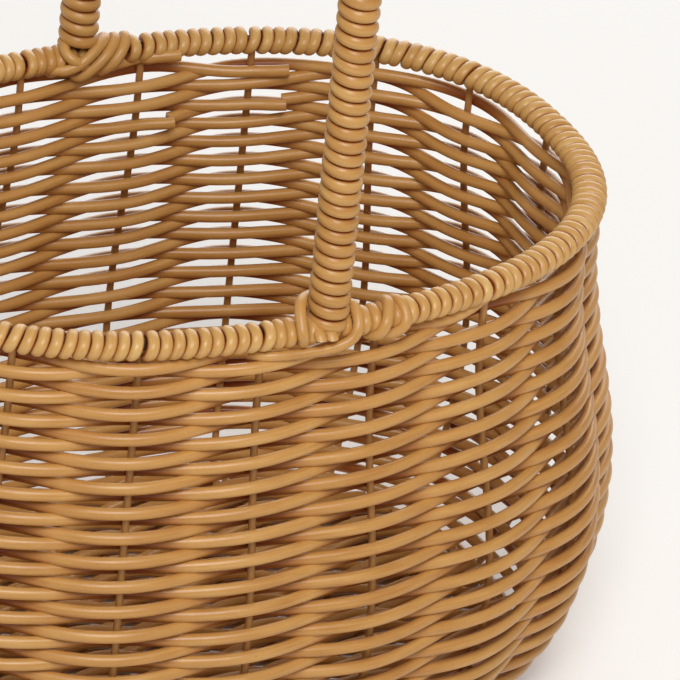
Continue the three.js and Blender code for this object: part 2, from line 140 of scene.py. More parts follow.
def through(points: Sequence[Sequence[float]], step: float) -> np.ndarray:
    """Draws a smooth curve through given points.

    Args:
        points: Points that the curve passes through, in order.
        step: About how far apart the made points lie.

    Returns:
        Points along the curve, as rows.
    """
    given = np.array(points, float)
    padded = np.vstack([2 * given[0] - given[1], given, 2 * given[-1] - given[-2]])
    made = [given[:1]]
    for i in range(1, len(padded) - 2):
        a, b, c, d = padded[i - 1 : i + 3]
        count = max(2, round(float(np.linalg.norm(c - b)) / step))
        t = (np.arange(1, count + 1) / count)[:, None]
        bend = (2 * a - 5 * b + 4 * c - d) * t**2 + (3 * b - a - 3 * c + d) * t**3
        made.append(0.5 * (2 * b + (c - a) * t + bend))
    return np.vstack(made)


# Shapes of the basket as a whole


@dataclass(frozen=True)
class Oval:
    """Plan of the rim: a rounded oval, squarer than an ellipse."""

    half_length: float = 152
    half_width: float = 108.5
    squareness: float = 2.33
    steps: int = 7200

    def point(self, angle: np.ndarray, grow: np.ndarray | float) -> np.ndarray:
        """Gives points of the oval at angles, its half axes grown."""
        c, s = np.cos(angle), np.sin(angle)
        power = 2 / self.squareness
        return np.stack(
            [
                (self.half_length + grow) * np.sign(c) * np.abs(c) ** power,
                (self.half_width + grow) * np.sign(s) * np.abs(s) ** power,
            ],
            axis=-1,
        )

    def normal(self, angle: np.ndarray, grow: np.ndarray | float) -> np.ndarray:
        """Gives the oval's outward directions in plan at angles."""
        p = self.point(angle, grow)
        a, b = self.half_length + grow, self.half_width + grow
        power = self.squareness - 1
        x = np.sign(p[..., 0]) * np.abs(p[..., 0] / a) ** power / a
        y = np.sign(p[..., 1]) * np.abs(p[..., 1] / b) ** power / b
        return unit(np.stack([x, y], axis=-1))

    def _lengths(self) -> tuple[np.ndarray, np.ndarray]:
        """Gives angles round the oval, and how far along it each of them lies."""
        angles = np.linspace(0, 2 * math.pi, self.steps + 1)
        points = self.point(angles, 0)
        steps = np.linalg.norm(np.diff(points, axis=0), axis=1)
        return angles, np.concatenate([[0], np.cumsum(steps)])

    def length(self) -> float:
        """Gives the oval's length round."""
        return float(self._lengths()[1][-1])

    def angle_along(self, share: np.ndarray) -> np.ndarray:
        """Gives the angle at each share of the way round, starting at +X."""
        angles, lengths = self._lengths()
        turns = np.floor(share)
        return 2 * math.pi * turns + np.interp((share - turns) * lengths[-1], lengths, angles)

    def half_extent(self, distance: float, grow: float, across_x: bool) -> float:
        """Gives half the oval's extent across one axis, at a distance along the other."""
        along = (self.half_width if across_x else self.half_length) + grow
        across = (self.half_length if across_x else self.half_width) + grow
        share = min(abs(distance) / along, 1)
        return across * (1 - share**self.squareness) ** (1 / self.squareness)


@dataclass(frozen=True)
class Wall:
    """Side wall: straight under the rim, swelling to a belly, then turning in to the foot."""

    oval: Oval = Oval()
    rim_height: float = 202
    neck_depth: float = 18
    belly_height: float = 74
    belly_out: float = 15.6
    lower_turn_drop: float = 90
    lower_turn_in: float = 66
    foot_height: float = 2.6
    last_of_quarter: float = 0.999
    step: float = 0.25

    @property
    def belly_depth(self) -> float:
        """How far the belly lies under the rim."""
        return self.rim_height - self.belly_height

    @property
    def foot_depth(self) -> float:
        """How far the foot wire lies under the rim."""
        return self.rim_height - self.foot_height

    @property
    def foot_growth(self) -> float:
        """How far the foot wire stands outside the rim's centreline."""
        return float(self.growth(np.array(self.foot_depth)))

    def growth(self, depth: np.ndarray) -> np.ndarray:
        """Gives how far the wall stands outside the rim's centreline at each depth."""
        upper = np.clip((depth - self.neck_depth) / (self.belly_depth - self.neck_depth), 0, 1)
        lower = np.clip((depth - self.belly_depth) / self.lower_turn_drop, 0, self.last_of_quarter)
        swell = self.belly_out * (1 - np.cos(math.pi * upper)) / 2
        return swell - self.lower_turn_in * (1 - np.sqrt(1 - lower**2))

    def _slope_lengths(self) -> tuple[np.ndarray, np.ndarray]:
        """Gives depths below the rim, and how far down the slope each of them lies."""
        depths = np.arange(0, self.foot_depth + self.step / 2, self.step)
        out = np.diff(self.growth(depths))
        return depths, np.concatenate([[0], np.cumsum(np.hypot(self.step, out))])

    def slope_length(self) -> float:
        """Gives the wall's length down its slope, from the rim to the foot wire."""
        return float(self._slope_lengths()[1][-1])

    def depth_down(self, length: np.ndarray) -> np.ndarray:
        """Gives the depth at each length down the slope."""
        depths, lengths = self._slope_lengths()
        return np.interp(length, lengths, depths)

    def at(self, share: np.ndarray, length: np.ndarray) -> WallPlace:
        """Gives the wall's places and directions at shares round the rim and lengths down the slope."""
        share, length = np.broadcast_arrays(share, length)
        angle = self.oval.angle_along(share)
        depth = self.depth_down(length)
        slope = (self.growth(depth + self.step) - self.growth(depth - self.step)) / (2 * self.step)
        grow = self.growth(depth)
        plan, side = self.oval.point(angle, grow), self.oval.normal(angle, grow)
        slope = slope[..., None]
        size = np.hypot(1, slope)
        return WallPlace(
            point=np.concatenate([plan, (self.rim_height - depth)[..., None]], axis=-1),
            out=np.concatenate([side, slope], axis=-1) / size,
            down=np.concatenate([side * slope, -np.ones_like(slope)], axis=-1) / size,
        )


@dataclass(frozen=True)
class WallPlace:
    """Places on the wall, with their outward and downward directions, as rows."""

    point: np.ndarray
    out: np.ndarray
    down: np.ndarray


# Node trees


class Reading:
    """A number read in a node tree.

    Sums on it add Math nodes. Its over() gives 1 where it lies above another number, and 0 elsewhere.
    """

    def __init__(self, builder: TreeBuilder, socket: bpy.types.NodeSocket) -> None:
        """Wraps a socket of the builder's tree."""
        self.builder = builder
        self.socket = socket

    def maths(self, operation: str, *others: Any) -> Reading:
        """Adds one Math node to this and the other numbers, and reads its result."""
        values = dict(enumerate((self, *others)))
        return self.builder.read(self.builder.node("ShaderNodeMath", {"operation": operation}, values))

    __add__ = partialmethod(maths, "ADD")
    __sub__ = partialmethod(maths, "SUBTRACT")
    __mul__ = partialmethod(maths, "MULTIPLY")
    __truediv__ = partialmethod(maths, "DIVIDE")
    over = partialmethod(maths, "GREATER_THAN")
    sine = partialmethod(maths, "SINE")
    cosine = partialmethod(maths, "COSINE")

    def held(self) -> Reading:
        """Keeps this between 0 and 1."""
        return self.builder.read(self.builder.node("ShaderNodeClamp", {}, {0: self}))

    def steep(self, low: float, high: float) -> Reading:
        """Eases this from 0 at the low value to 1 at the high one."""
        settings = {"interpolation_type": "SMOOTHSTEP"}
        inputs = {0: self, 1: low, 2: high, 3: 0.0, 4: 1.0}
        return self.builder.read(self.builder.node("ShaderNodeMapRange", settings, inputs))


class TreeBuilder:
    """Adds nodes to one tree, and links or fills their sockets."""

    def __init__(self, tree: bpy.types.NodeTree) -> None:
        """Takes the tree to build in."""
        self.tree = tree

    def node(
        self,
        kind: str,
        settings: Mapping[str, Any] | None = None,
        inputs: Mapping[int | str, Any] | None = None,
    ) -> bpy.types.Node:
        """Adds a node.

        Args:
            kind: The node's type.
            settings: Its own settings, which are set first.
            inputs: A value, a socket, or a reading for each input, by name or number.

        Returns:
            The node.
        """
        made = self.tree.nodes.new(kind)
        for name, value in (settings or {}).items():
            setattr(made, name, value)
        for key, value in (inputs or {}).items():
            self.feed(made.inputs[key], value)
        return made

    def feed(self, socket: bpy.types.NodeSocket, value: Any) -> None:
        """Links a socket to another, or sets its plain value."""
        if isinstance(value, Reading):
            value = value.socket
        if isinstance(value, bpy.types.NodeSocket):
            self.tree.links.new(value, socket)
        else:
            socket.default_value = value

    def read(self, node: bpy.types.Node, output: int | str = 0) -> Reading:
        """Reads one output of a node as a number."""
        return Reading(self, node.outputs[output])

    def carried(self, name: str) -> bpy.types.NodeSocket:
        """Gives the direction that each point of a geometry carries under a name."""
        settings = {"data_type": "FLOAT_VECTOR"}
        return self.node("GeometryNodeInputNamedAttribute", settings, {"Name": name}).outputs[0]

    def carried_number(self, name: str) -> Reading:
        """Reads the number that each point of a geometry carries under a name."""
        settings = {"data_type": "FLOAT"}
        return self.read(self.node("GeometryNodeInputNamedAttribute", settings, {"Name": name}))

    def store(self, geometry: Any, name: str, value: Any) -> bpy.types.NodeSocket:
        """Makes each point carry a number, if the value is a reading, or else a direction.

        Args:
            geometry: The geometry's socket.
            name: The name that the value is carried under.
            value: The reading or the direction's socket.

        Returns:
            The new geometry's socket.
        """
        kind = "FLOAT" if isinstance(value, Reading) else "FLOAT_VECTOR"
        inputs = {"Geometry": geometry, "Name": name, "Value": value}
        settings = {"data_type": kind, "domain": "POINT"}
        return self.node("GeometryNodeStoreNamedAttribute", settings, inputs).outputs[0]

    def scaled(self, vector: Any, number: Any) -> bpy.types.NodeSocket:
        """Scales a direction by a number."""
        inputs = {0: vector, "Scale": number}
        return self.node("ShaderNodeVectorMath", {"operation": "SCALE"}, inputs).outputs[0]

    def sum(self, first: Any, second: Any) -> bpy.types.NodeSocket:
        """Adds two directions."""
        return self.node("ShaderNodeVectorMath", {"operation": "ADD"}, {0: first, 1: second}).outputs[0]

    def noise(self, place: Any, scale: float, detail: float, roughness: float = 0.5) -> Reading:
        """Reads smooth noise at a place."""
        inputs = {"Vector": place, "Scale": scale, "Detail": detail, "Roughness": roughness}
        return self.read(self.node("ShaderNodeTexNoise", {}, inputs))

    def mix(self, share: Any, first: Any, second: Any) -> bpy.types.NodeSocket:
        """Mixes two colours, given as sockets or as linear light."""
        return self.node("ShaderNodeMix", {"data_type": "RGBA"}, {0: share, 6: first, 7: second}).outputs[2]

    def ramp(self, level: Reading, stops: Sequence[tuple[float, Sequence[float]]]) -> bpy.types.NodeSocket:
        """Turns a level into a colour by stops at growing places."""
        made = self.node("ShaderNodeValToRGB", {}, {0: level})
        while len(made.color_ramp.elements) < len(stops):
            made.color_ramp.elements.new(0.5)
        for element, (place, colour) in zip(made.color_ramp.elements, stops):
            element.position = place
            element.color = colour
        return made.outputs[0]

    def bump(self, height: Reading, strength: float, distance: float) -> bpy.types.NodeSocket:
        """Turns a height into the surface's normal."""
        inputs = {"Strength": strength, "Distance": distance, "Height": height}
        return self.node("ShaderNodeBump", {}, inputs).outputs[0]

    def surface(self, inputs: Mapping[str, Any]) -> bpy.types.NodeSocket:
        """Adds the main shader, with what differs from its defaults."""
        return self.node("ShaderNodeBsdfPrincipled", {}, inputs).outputs[0]


# Finishes


class Finish:
    """A finish of some pieces: a name, the record's slot, and a material built once."""

    name: str
    slot: str

    def material(self) -> bpy.types.Material:
        """Gives this finish's material, and builds it the first time."""
        made = bpy.data.materials.get(self.name)
        if made is None:
            made = bpy.data.materials.new(self.name)
            made.use_nodes = True
            made.node_tree.nodes.clear()
            tree = TreeBuilder(made.node_tree)
            tree.node("ShaderNodeOutputMaterial", {}, {0: self.build(tree)})
        return made

    def build(self, tree: TreeBuilder) -> bpy.types.NodeSocket:
        """Builds the material's nodes, and gives the finished surface's socket."""
        raise NotImplementedError


@dataclass(frozen=True)
class Grain:
    """How fine a noise in the cane is, per millimetre across and along the strand, and how detailed."""

    across: float
    along: float
    detail: float
    roughness: float = 0.5


@dataclass(frozen=True)
class CaneFinish(Finish):
    """Extruded plastic cane: honey tan, half glossy, with fine lines along it, faint specks and painted
    crease shade.
    """

    name: str
    slot: str = "cane"
    shade: tuple[int, int, int] = (184, 126, 62)
    body: tuple[int, int, int] = (200, 146, 78)
    light: tuple[int, int, int] = (212, 162, 94)
    speck: tuple[int, int, int] = (160, 102, 48)
    # Painted shade: the darker, redder colour that the creases get in place of real shade.
    painted_shade: tuple[int, int, int] = (144, 60, 10)
    painted_shade_share: float = 0.95
    stops: tuple[float, float, float] = (0.26, 0.5, 0.74)
    lines: Grain = Grain(1.5, 0.035, 3.0, 0.65)
    patches: Grain = Grain(0.2, 0.045, 2.0)
    specks: Grain = Grain(2.6, 1.5, 1.0)
    patch_share: float = 0.7
    line_share: float = 0.5
    shade_shift: float = -0.1
    speck_edges: tuple[float, float] = (0.62, 0.78)
    speck_share: float = 0.4
    roughness: float = 0.34
    roughness_swing: float = 0.18
    ior: float = 1.5
    line_strength: float = 0.6
    line_depth: float = 0.00006

    def build(self, tree: TreeBuilder) -> bpy.types.NodeSocket:
        """Builds the cane from lines along the strand, slow changes along it, specks, and painted shade in
        creases.
        """
        profile, along, crease_shade = (
            tree.node("ShaderNodeAttribute", {"attribute_name": name}).outputs
            for name in ("profile", "along", "painted_shade")
        )
        parts = tree.node("ShaderNodeSeparateXYZ", {}, {0: profile["Vector"]})
        place = [tree.read(parts, 0), tree.read(parts, 1), Reading(tree, along["Fac"])]
        lines, patches, specks = (
            tree.noise(self.spread(tree, place, grain), 1.0, grain.detail, grain.roughness)
            for grain in (self.lines, self.patches, self.specks)
        )
        level = (patches * self.patch_share + lines * self.line_share + self.shade_shift).held()
        colours = [srgb(*colour) for colour in (self.shade, self.body, self.light)]
        plain = tree.ramp(level, list(zip(self.stops, colours)))
        specked = tree.mix(specks.steep(*self.speck_edges) * self.speck_share, plain, srgb(*self.speck))
        # Mixes in the painted shade, by how far each place lies in a crease.
        with_painted_shade = tree.mix(Reading(tree, crease_shade["Fac"]) * self.painted_shade_share, specked, srgb(*self.painted_shade))
        return tree.surface(
            {
                "Base Color": with_painted_shade,
                "Roughness": lines * self.roughness_swing + (self.roughness - self.roughness_swing / 2),
                "IOR": self.ior,
                "Normal": tree.bump(lines, self.line_strength, self.line_depth),
            }
        )

    @staticmethod
    def spread(tree: TreeBuilder, place: Sequence[Reading], grain: Grain) -> bpy.types.NodeSocket:
        """Stretches a place on the strand to a grain's fineness."""
        across_x, across_y, along = place
        inputs = {0: across_x * grain.across, 1: across_y * grain.across, 2: along * grain.along}
        return tree.node("ShaderNodeCombineXYZ", {}, inputs).outputs[0]


@dataclass(frozen=True)
class WireFinish(Finish):
    """Wire under a smooth skin of two near colours in soft spots: the stakes' plastic coat, or a lacquer."""

    name: str
    slot: str
    dull: tuple[int, int, int]
    bright: tuple[int, int, int]
    spot_scale: float
    spot_detail: float
    roughness: float
    roughness_swing: float
    metallic: float = 0.0
    ripple: float = 0.0
    ripple_scale: float = 900.0
    ripple_detail: float = 2.0
    ripple_depth: float = 0.00004

    def build(self, tree: TreeBuilder) -> bpy.types.NodeSocket:
        """Builds the skin from its spots, and from a faint unevenness if it has one."""
        place = tree.node("ShaderNodeTexCoord").outputs["Object"]
        spots = tree.noise(place, self.spot_scale, self.spot_detail)
        inputs = {
            "Base Color": tree.mix(spots, srgb(*self.dull), srgb(*self.bright)),
            "Metallic": self.metallic,
            "Roughness": spots * self.roughness_swing + self.roughness,
        }
        if self.ripple:
            ripples = tree.noise(place, self.ripple_scale, self.ripple_detail)
            inputs["Normal"] = tree.bump(ripples, self.ripple, self.ripple_depth)
        return tree.surface(inputs)


@dataclass(frozen=True)
class FloorFinish(Finish):
    """Plain white studio floor, which the camera sees as white but for the shadow on it."""

    name: str = "floor_finish"
    slot: str = ""
    colour: tuple[int, int, int] = (240, 239, 237)
    lift: float = 0.18
    grain_scale: float = 400.0
    grain_detail: float = 2.0
    roughness: float = 0.9
    roughness_swing: float = 0.05
    shine: float = 0.1

    def build(self, tree: TreeBuilder) -> bpy.types.NodeSocket:
        """Builds a matt floor, and lifts it for the camera and for reflections."""
        place = tree.node("ShaderNodeTexCoord").outputs["Object"]
        grain = tree.noise(place, self.grain_scale, self.grain_detail)
        matt = tree.surface(
            {
                "Base Color": srgb(*self.colour),
                "Roughness": grain * self.roughness_swing + self.roughness,
                "Specular IOR Level": self.shine,
            }
        )
        ray = tree.node("ShaderNodeLightPath")
        seen = (tree.read(ray, "Is Camera Ray") + tree.read(ray, "Is Glossy Ray")).held()
        glow = tree.node("ShaderNodeEmission", {}, {"Color": (1, 1, 1, 1), "Strength": seen * self.lift})
        return tree.node("ShaderNodeAddShader", {}, {0: matt, 1: glow.outputs[0]}).outputs[0]


CANE = CaneFinish("cane_finish")
CANE_LIGHT = CaneFinish("cane_light_finish", "cane_light", (187, 130, 65), (203, 150, 82), (215, 167, 99))
# Painted sheen: the rim binding's cane is lighter and yellower than the weave's, for its brighter
# highlights.
RIM_CANE = CaneFinish(
    "rim_cane_finish",
    "cane_light",
    (193, 141, 74),
    (211, 163, 94),
    (224, 184, 116),
    roughness=0.37,
    ior=1.52,
)
# Painted sheen: the handle's light colour is lighter and yellower than the weave's, for its brighter
# highlights.
HANDLE_CANE = CaneFinish(
    "handle_cane_finish",
    "cane",
    (183, 129, 64),
    (202, 150, 82),
    (217, 173, 104),
    roughness=0.37,
    ior=1.52,
)
COATED_WIRE = WireFinish(
    "coated_wire_finish",
    "coated_wire",
    (168, 116, 62),
    (196, 146, 86),
    spot_scale=60.0,
    spot_detail=3.0,
    roughness=0.34,
    roughness_swing=0.16,
    ripple=0.4,
)
STEEL = WireFinish(
    "steel_finish",
    "steel_wire",
    (70, 46, 28),
    (104, 74, 48),
    spot_scale=240.0,
    spot_detail=4.0,
    roughness=0.4,
    roughness_swing=0.2,
    metallic=0.6,
)
FLOOR = FloorFinish()


# Geometry Nodes trees: a strand along a path, and a strand wound round a path


class Socket(Enum):
    """Kinds of input that the trees have."""

    GEOMETRY = "NodeSocketGeometry"
    FLOAT = "NodeSocketFloat"
    INT = "NodeSocketInt"
    MATERIAL = "NodeSocketMaterial"


class StrandTree:
    """A strand of one section, swept along a path whose points say which way its thickness lies."""

    name = "Strand"
    inputs = {
        "Width": Socket.FLOAT,
        "Thickness": Socket.FLOAT,
        "Sides": Socket.INT,
        "Offset": Socket.FLOAT,
        "Material": Socket.MATERIAL,
    }
    # Where across a turn's flank the painted shade starts, and where it is full.
    flank = (0.5, 1.0)
    most_side_corners = 4.5

    def tree(self) -> bpy.types.NodeTree:
        """Gives this tree, and builds it the first time."""
        made = bpy.data.node_groups.get(self.name)
        if made is None:
            made = bpy.data.node_groups.new(self.name, "GeometryNodeTree")
            for name, kind in {"Geometry": Socket.GEOMETRY, **self.inputs}.items():
                made.interface.new_socket(name, in_out="INPUT", socket_type=kind.value)
            made.interface.new_socket("Geometry", in_out="OUTPUT", socket_type=Socket.GEOMETRY.value)
            tree = TreeBuilder(made)
            given = tree.node("NodeGroupInput").outputs
            curve = tree.node("GeometryNodeMeshToCurve", {}, {0: given["Geometry"]}).outputs[0]
            tree.node("NodeGroupOutput", {}, {0: self.build(tree, given, curve)})
        return made

    def build(self, tree: TreeBuilder, given: Any, curve: Any) -> Any:
        """Builds the strand's nodes.

        Args:
            tree: The tree to build in.
            given: The tree's named inputs.
            curve: The path as a curve.

        Returns:
            The finished strand's geometry socket.
        """
        return self.sweep(tree, given, curve, tree.carried("out"))

    def sweep(self, tree: TreeBuilder, given: Any, curve: Any, out: Any) -> Any:
        """Sweeps the section along a curve.

        Args:
            tree: The tree to build in.
            given: The tree's named inputs.
            curve: The curve to follow.
            out: The direction in which the strand's thickness lies.

        Returns:
            The finished strand's geometry socket.
        """
        turned = tree.node("GeometryNodeSetCurveNormal", {"mode": "FREE"}, {"Curve": curve, "Normal": out})
        length = tree.read(tree.node("GeometryNodeSplineParameter"), "Length")
        marked = tree.store(turned.outputs[0], "along", length * PER_METRE + Reading(tree, given["Offset"]))
        scale = tree.node("ShaderNodeCombineXYZ", {}, {0: given["Thickness"], 1: given["Width"], 2: 1.0})
        ring = {"Resolution": given["Sides"], "Radius": 0.5}
        circle = tree.node("GeometryNodeCurvePrimitiveCircle", {}, ring)
        oval = {"Geometry": circle.outputs[0], "Scale": scale.outputs[0]}
        section = tree.node("GeometryNodeTransform", {}, oval)
        place = tree.node("GeometryNodeInputPosition").outputs[0]
        profile = tree.store(section.outputs[0], "profile", tree.scaled(place, PER_METRE))
        swept = {"Curve": marked, "Profile Curve": profile, "Fill Caps": True}
        body = tree.node("GeometryNodeCurveToMesh", {}, swept).outputs[0]
        # Stores how much painted shade each place gets, for the cane's colour.
        shaded = tree.store(body, "painted_shade", self.crease_shade(tree, given))
        rounded = tree.node("GeometryNodeSetShadeSmooth", {}, {"Geometry": shaded, "Shade Smooth": True})
        corners = tree.read(tree.node("GeometryNodeInputMeshFaceNeighbors"), "Vertex Count")
        ends = corners.over(self.most_side_corners)
        flat_ends = tree.node(
            "GeometryNodeSetShadeSmooth",
            {},
            {"Geometry": rounded.outputs[0], "Selection": ends, "Shade Smooth": False},
        )
        real = tree.node("GeometryNodeRealizeInstances", {}, {0: flat_ends.outputs[0]})
        dress = {"Geometry": real.outputs[0], "Material": given["Material"]}
        return tree.node("GeometryNodeSetMaterial", {}, dress).outputs[0]

    def crease_shade(self, tree: TreeBuilder, given: Any) -> Reading:
        """Reads how far each place on a strand lies in a crease, which is how much painted shade it gets.

        A weaver's side that faces the middle of the wall lies in one, by the path's number "side_of_wall".
        That number is above 0 where the weaver passes outside. The flanks of turns that lie close together
        lie in one too, by the number "crowd".

        Args:
            tree: The tree to build in.
            given: The tree's named inputs.

        Returns:
            A number from 0, open and without painted shade, to 1, in a crease and fully shaded.
        """
        pair = {0: tree.node("GeometryNodeInputNormal").outputs[0], 1: tree.carried("out")}
        dot = tree.node("ShaderNodeVectorMath", {"operation": "DOT_PRODUCT"}, pair)
        inward = (tree.read(dot, "Value") * tree.carried_number("side_of_wall") * -1.0).held()
        parts = tree.node("ShaderNodeSeparateXYZ", {}, {0: tree.carried("profile")})
        across = tree.read(parts, 1) / (Reading(tree, given["Width"]) * (PER_METRE / 2))
        return (inward + (across * across).steep(*self.flank) * tree.carried_number("crowd")).held()


class WindingTree(StrandTree):
    """A strand wound round a path, turn beside turn, with a little unevenness from turn to turn."""

    name = "Winding"
    turning = {
        "Turns": Socket.FLOAT,
        "Steps per Turn": Socket.INT,
        "Radius": Socket.FLOAT,
        "Rise": Socket.FLOAT,
        "Start": Socket.FLOAT,
        "Lean": Socket.FLOAT,
        "Unevenness": Socket.FLOAT,
        "Seed": Socket.INT,
    }
    inputs = {**turning, **StrandTree.inputs}
    drift_pace = 0.9
    seed_spacing = 37.3

    def build(self, tree: TreeBuilder, given: Any, curve: Any) -> Any:
        """Lays points round the path, then sweeps the section along them."""
        turns, steps, radius, rise, start, lean, unevenness, seed = (
            Reading(tree, given[name]) for name in self.turning
        )
        fine = tree.node("GeometryNodeResampleCurve", {}, {"Curve": curve, "Count": turns * steps + 1})
        turn = tree.read(tree.node("GeometryNodeSplineParameter"), "Factor") * turns
        walk = {"W": turn * self.drift_pace + seed * self.seed_spacing, "Scale": 1.0, "Detail": 1.0}
        drift = tree.read(tree.node("ShaderNodeTexNoise", {"noise_dimensions": "1D"}, walk))
        side, top, onwards = (tree.carried(name) for name in ("side", "top", "onwards"))
        angle = (turn + start) * (-2 * math.pi)
        sine, cosine = angle.sine(), angle.cosine()
        spoke = tree.sum(tree.scaled(side, sine), tree.scaled(top, cosine))
        reach = tree.sum(tree.scaled(side, sine * radius), tree.scaled(top, cosine * rise))
        shift = (drift - 0.5) * 2 * unevenness + tree.carried_number("push") + sine * cosine * lean
        kept = tree.store(tree.store(fine.outputs[0], "out", spoke), "reach", reach)
        offset = tree.sum(tree.carried("reach"), tree.scaled(onwards, shift))
        wound = tree.node("GeometryNodeSetPosition", {}, {"Geometry": kept, "Offset": offset})
        return self.sweep(tree, given, wound.outputs[0], tree.carried("out"))


STRAND = StrandTree()
WINDING = WindingTree()


# Making pieces


@dataclass
class Path:
    """Points of a path in millimetres, with the directions and numbers that belong to them."""

    points: np.ndarray
    directions: dict[str, np.ndarray]
    numbers: dict[str, np.ndarray] = field(default_factory=dict)
    closed: bool = False


def level_path(points: np.ndarray, closed: bool = False) -> Path:
    """Gives the path of a strand that lies level, with its thickness upwards."""
    return Path(points, {"out": np.tile(UP, (len(points), 1))}, closed=closed)


def path_mesh(name: str, paths: Sequence[Path]) -> bpy.types.Mesh:
    """Makes a mesh of loose edges, in metres, that carries the paths and what belongs to their points."""
    edges: list[tuple[int, int]] = []
    first = 0
    for path in paths:
        count = len(path.points)
        edges += [(first + i, first + i + 1) for i in range(count - 1)]
        if path.closed:
            edges.append((first + count - 1, first))
        first += count
    mesh = bpy.data.meshes.new(name)
    mesh.from_pydata((np.vstack([p.points for p in paths]) * MM).tolist(), edges, [])
    for key in paths[0].directions:
        values = np.vstack([p.directions[key] for p in paths]).astype(np.float32)
        mesh.attributes.new(key, "FLOAT_VECTOR", "POINT").data.foreach_set("vector", values.ravel())
    for key in paths[0].numbers:
        values = np.concatenate([p.numbers[key] for p in paths]).astype(np.float32)
        mesh.attributes.new(key, "FLOAT", "POINT").data.foreach_set("value", values)
    return mesh


@dataclass(frozen=True)
class Section:
    """A strand's section in millimetres, its number of sides, and where on the strand its grain starts."""

    width: float
    thickness: float
    sides: int
    grain: float = 0.0

    @classmethod
    def of_wire(cls, radius: float, sides: int, grain: float = 0.0) -> Section:
        """Gives the section of a round wire."""
        return cls(2 * radius, 2 * radius, sides, grain)

    def inputs(self) -> dict[str, Any]:
        """Gives what the trees take of this section."""
        return {
            "Width": self.width * MM,
            "Thickness": self.thickness * MM,
            "Sides": self.sides,
            "Offset": self.grain,
        }


def make_piece(
    name: str,
    node: str,
    finish: Finish,
    paths: Sequence[Path],
    section: Section,
    winding: Mapping[str, Any] | None = None,
) -> None:
    """Makes a piece of strands that rides on the basket in place of one solid.

    Args:
        name: The piece's name.
        node: The solid's name.
        finish: The piece's finish.
        paths: What its strands follow.
        section: Their section.
        winding: What else the winding's tree takes, if the strand is wound round its path.
    """
    tree = WINDING if winding else STRAND
    source = add_object(name + "_path", path_mesh(name + "_path", paths))
    modifier = source.modifiers.new(tree.name, "NODES")
    modifier.node_group = tree.tree()
    sockets = {s.name: s.identifier for s in modifier.node_group.interface.items_tree if s.in_out == "INPUT"}
    for key, value in {**(winding or {}), **section.inputs(), "Material": finish.material()}.items():
        modifier[sockets[key]] = value
    bpy.context.view_layer.update()
    graph = bpy.context.evaluated_depsgraph_get()
    mesh = bpy.data.meshes.new_from_object(source.evaluated_get(graph), depsgraph=graph)
    mesh.name = name
    path_data = source.data
    bpy.data.objects.remove(source)
    bpy.data.meshes.remove(path_data)
    piece = add_object(name, mesh)
    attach(piece, "root")
    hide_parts(node)
    LOG.info("%s: %d faces, %s, for %s", name, len(mesh.polygons), finish.name, node)


# The basket's parts


@dataclass
class Uprights:
    """The 18 upright stakes, set where the photograph shows them.

    The shifts say how many millimetres along the rim each of some stakes stands from even spacing.
    """

    wall: Wall
    count: int = 18
    radius: float = 1.45
    top_length: float = 2.4
    foot_gap: float = 3.3
    step: float = 3.0
    sides: int = 10
    grain_step: float = 300.0
    shifts: dict[float, float] = field(
        default_factory=lambda: {
            0: 4.0, 1: 3.0, 2: -4.0, 3: -2.0, 4: -4.0, 5: 0.0,
            8: 0.0, 11: 0.0, 12: -1.0, 13: -2.0, 14: -2.8, 15: 0.0,
        }
    )  # fmt: skip

    def share(self, number: np.ndarray) -> np.ndarray:
        """Gives how far round the rim a stake stands, or a place between two, as a share."""
        shift = round_trip(self.shifts, self.count, number)
        return (number + shift / self.wall.oval.length() * self.count) / self.count

    def build(self) -> None:
        """Builds the stakes from the rim wire down to the foot wire."""
        last = self.wall.slope_length() - self.foot_gap
        lengths = np.linspace(self.top_length, last, round((last - self.top_length) / self.step))
        for number in range(self.count):
            place = self.wall.at(self.share(np.array([float(number)])), lengths)
            section = Section.of_wire(self.radius, self.sides, self.grain_step * number)
            names = f"upright_{number + 1:02d}", f"stake_{number + 1:02d}"
            make_piece(*names, COATED_WIRE, [Path(place.point, {"out": place.out})], section)


